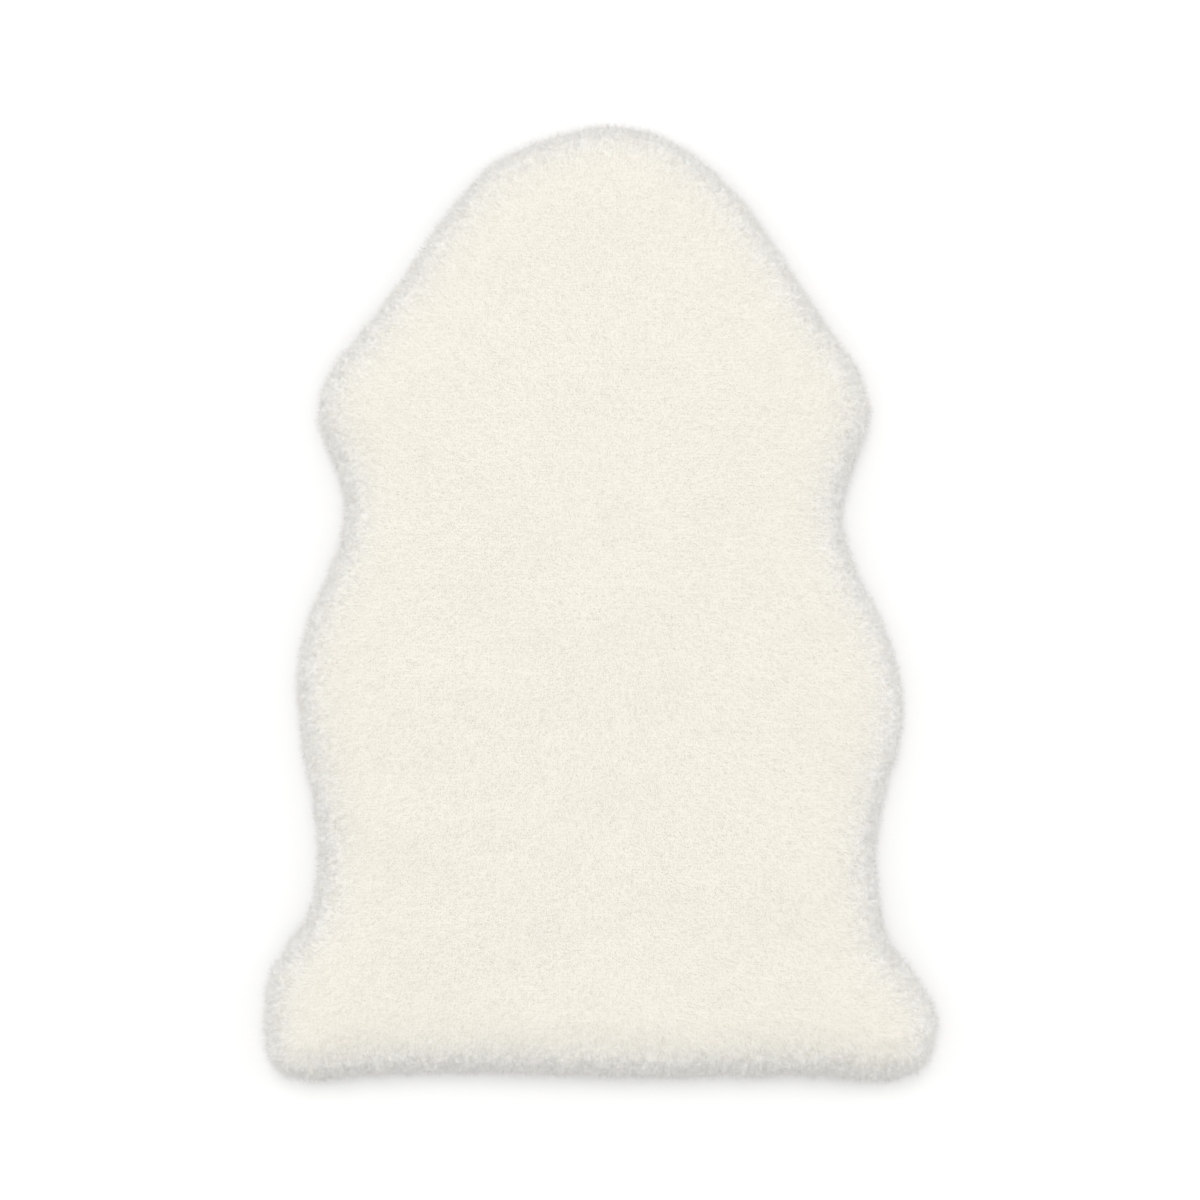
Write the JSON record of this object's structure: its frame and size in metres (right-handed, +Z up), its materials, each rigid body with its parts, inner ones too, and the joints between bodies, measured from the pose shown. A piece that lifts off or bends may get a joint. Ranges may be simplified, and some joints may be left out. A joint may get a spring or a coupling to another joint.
{
  "type": "sheepskin rug",
  "caption": "Whole sheepskin rug that lies flat, with thick ivory wool, a round head end, narrow waist, spread hind feet and a flat skin underside.",
  "frame": {"origin": "on the surface that the rug lies on, under the middle of its outer box", "axes": "+Z up, from the skin to the wool; +Y along the back, from the tail edge to the head end; +X to the right, seen from above with the head end away"},
  "size_m": [0.6682, 0.954, 0.0552],
  "materials": {
    "fleece": "ivory sheep's wool, dense and soft, combed outwards at the rim",
    "hide": "tanned skin with a pale suede nap, on the underside"
  },
  "bodies": {
    "root": {"sheepskin": "fleece"}
  },
  "joints": []
}
